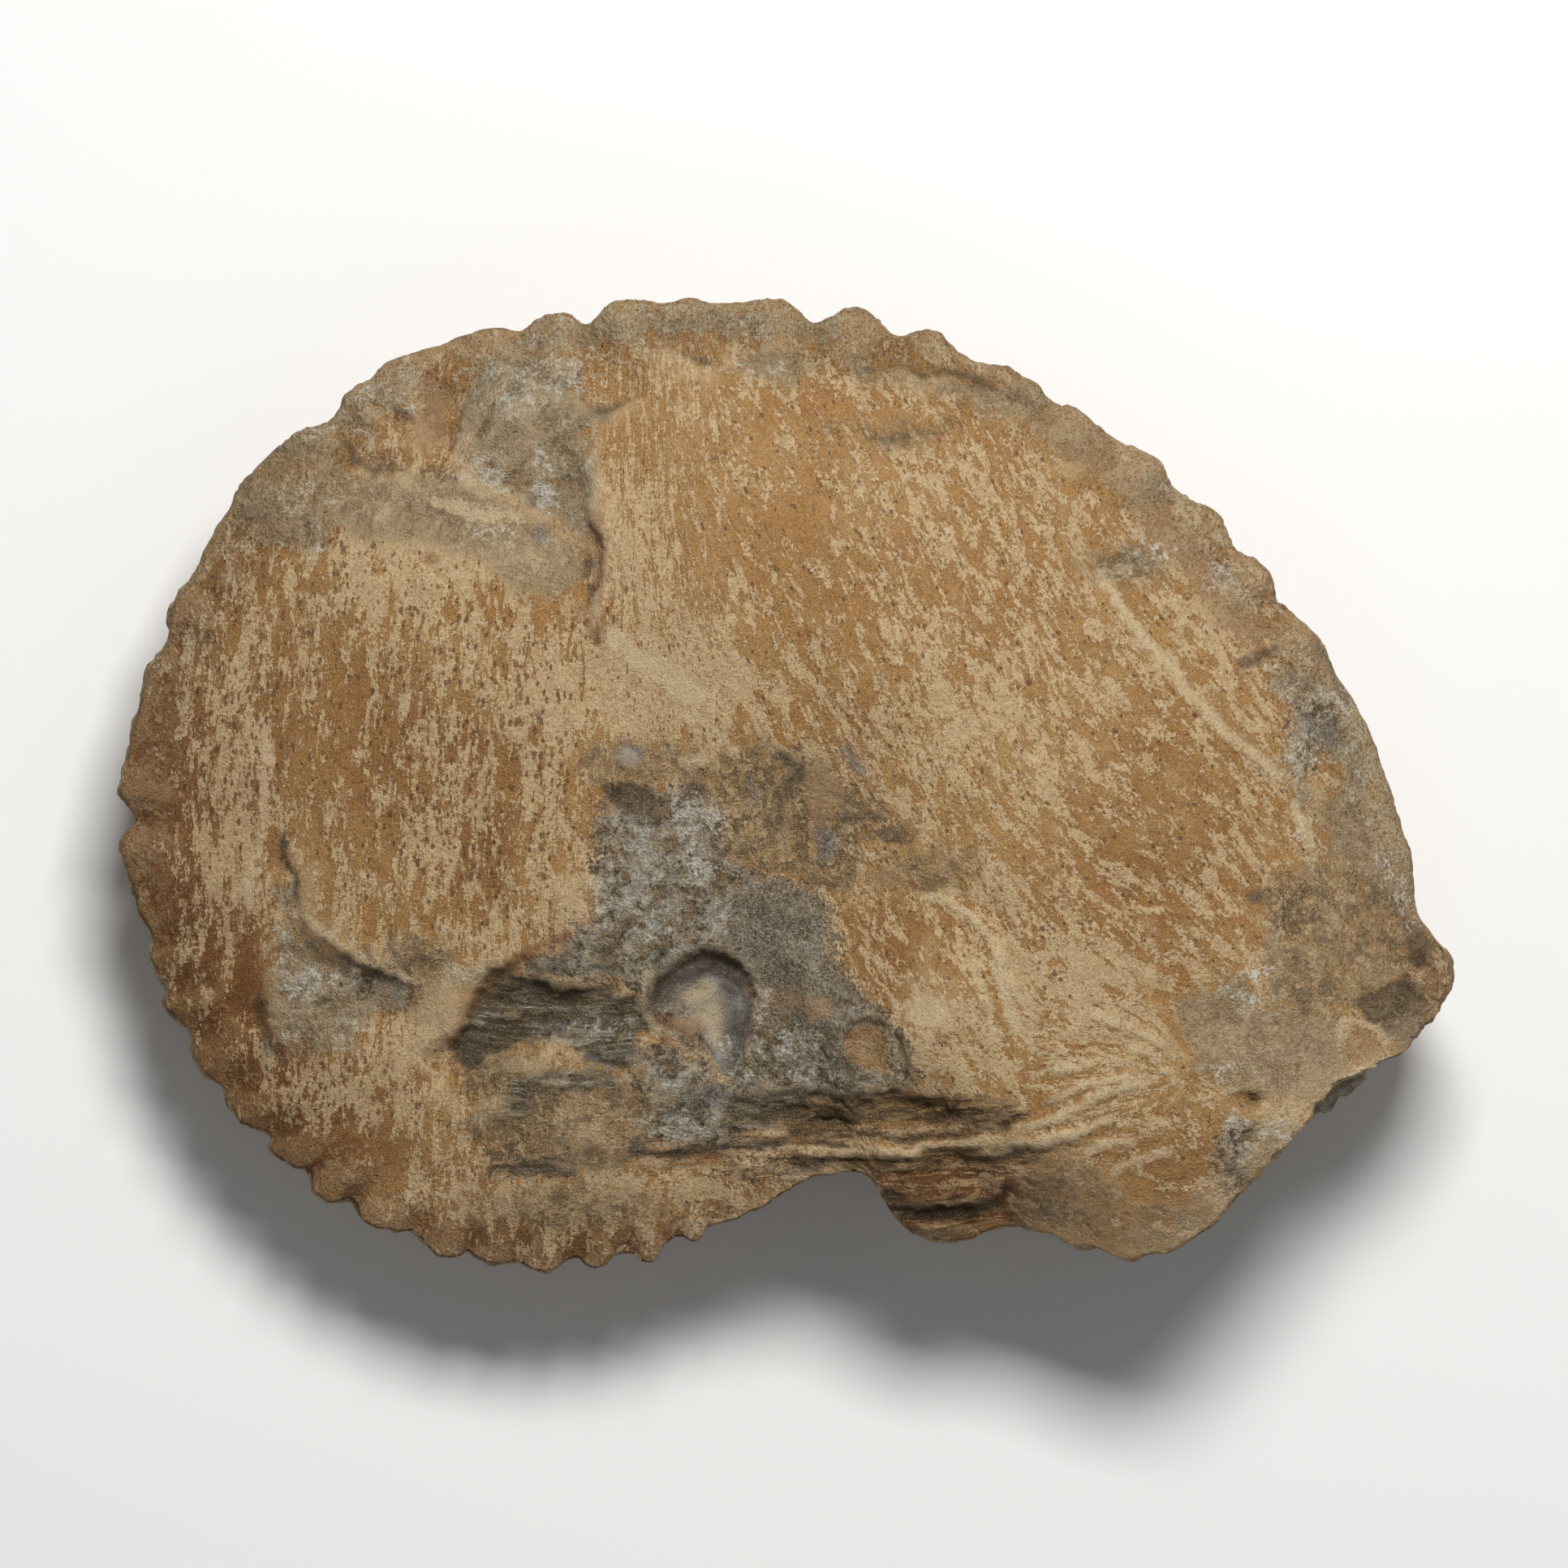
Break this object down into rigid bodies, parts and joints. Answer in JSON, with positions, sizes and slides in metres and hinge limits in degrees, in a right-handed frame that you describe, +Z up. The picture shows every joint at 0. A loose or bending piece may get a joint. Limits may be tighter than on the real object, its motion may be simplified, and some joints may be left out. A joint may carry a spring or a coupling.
{
  "type": "fossil ammonite",
  "caption": "Fossil ammonite: stone inside mould of a flat coiled shell with a beaded outer edge, broken at the mouth, lying on its flank.",
  "frame": {"origin": "under the middle of the plan outline, on the worn flat of the lower flank that the stone rests on", "axes": "+Z up, through the flattened coil; +X along its greatest length, towards the broken mouth; +Y across the coil, away from the notched inner side"},
  "size_m": [0.1321, 0.0969, 0.038],
  "materials": {
    "limestone": "matt ochre limestone with cream film and grey matrix"
  },
  "bodies": {
    "root": {"ammonite": "limestone"}
  },
  "joints": []
}
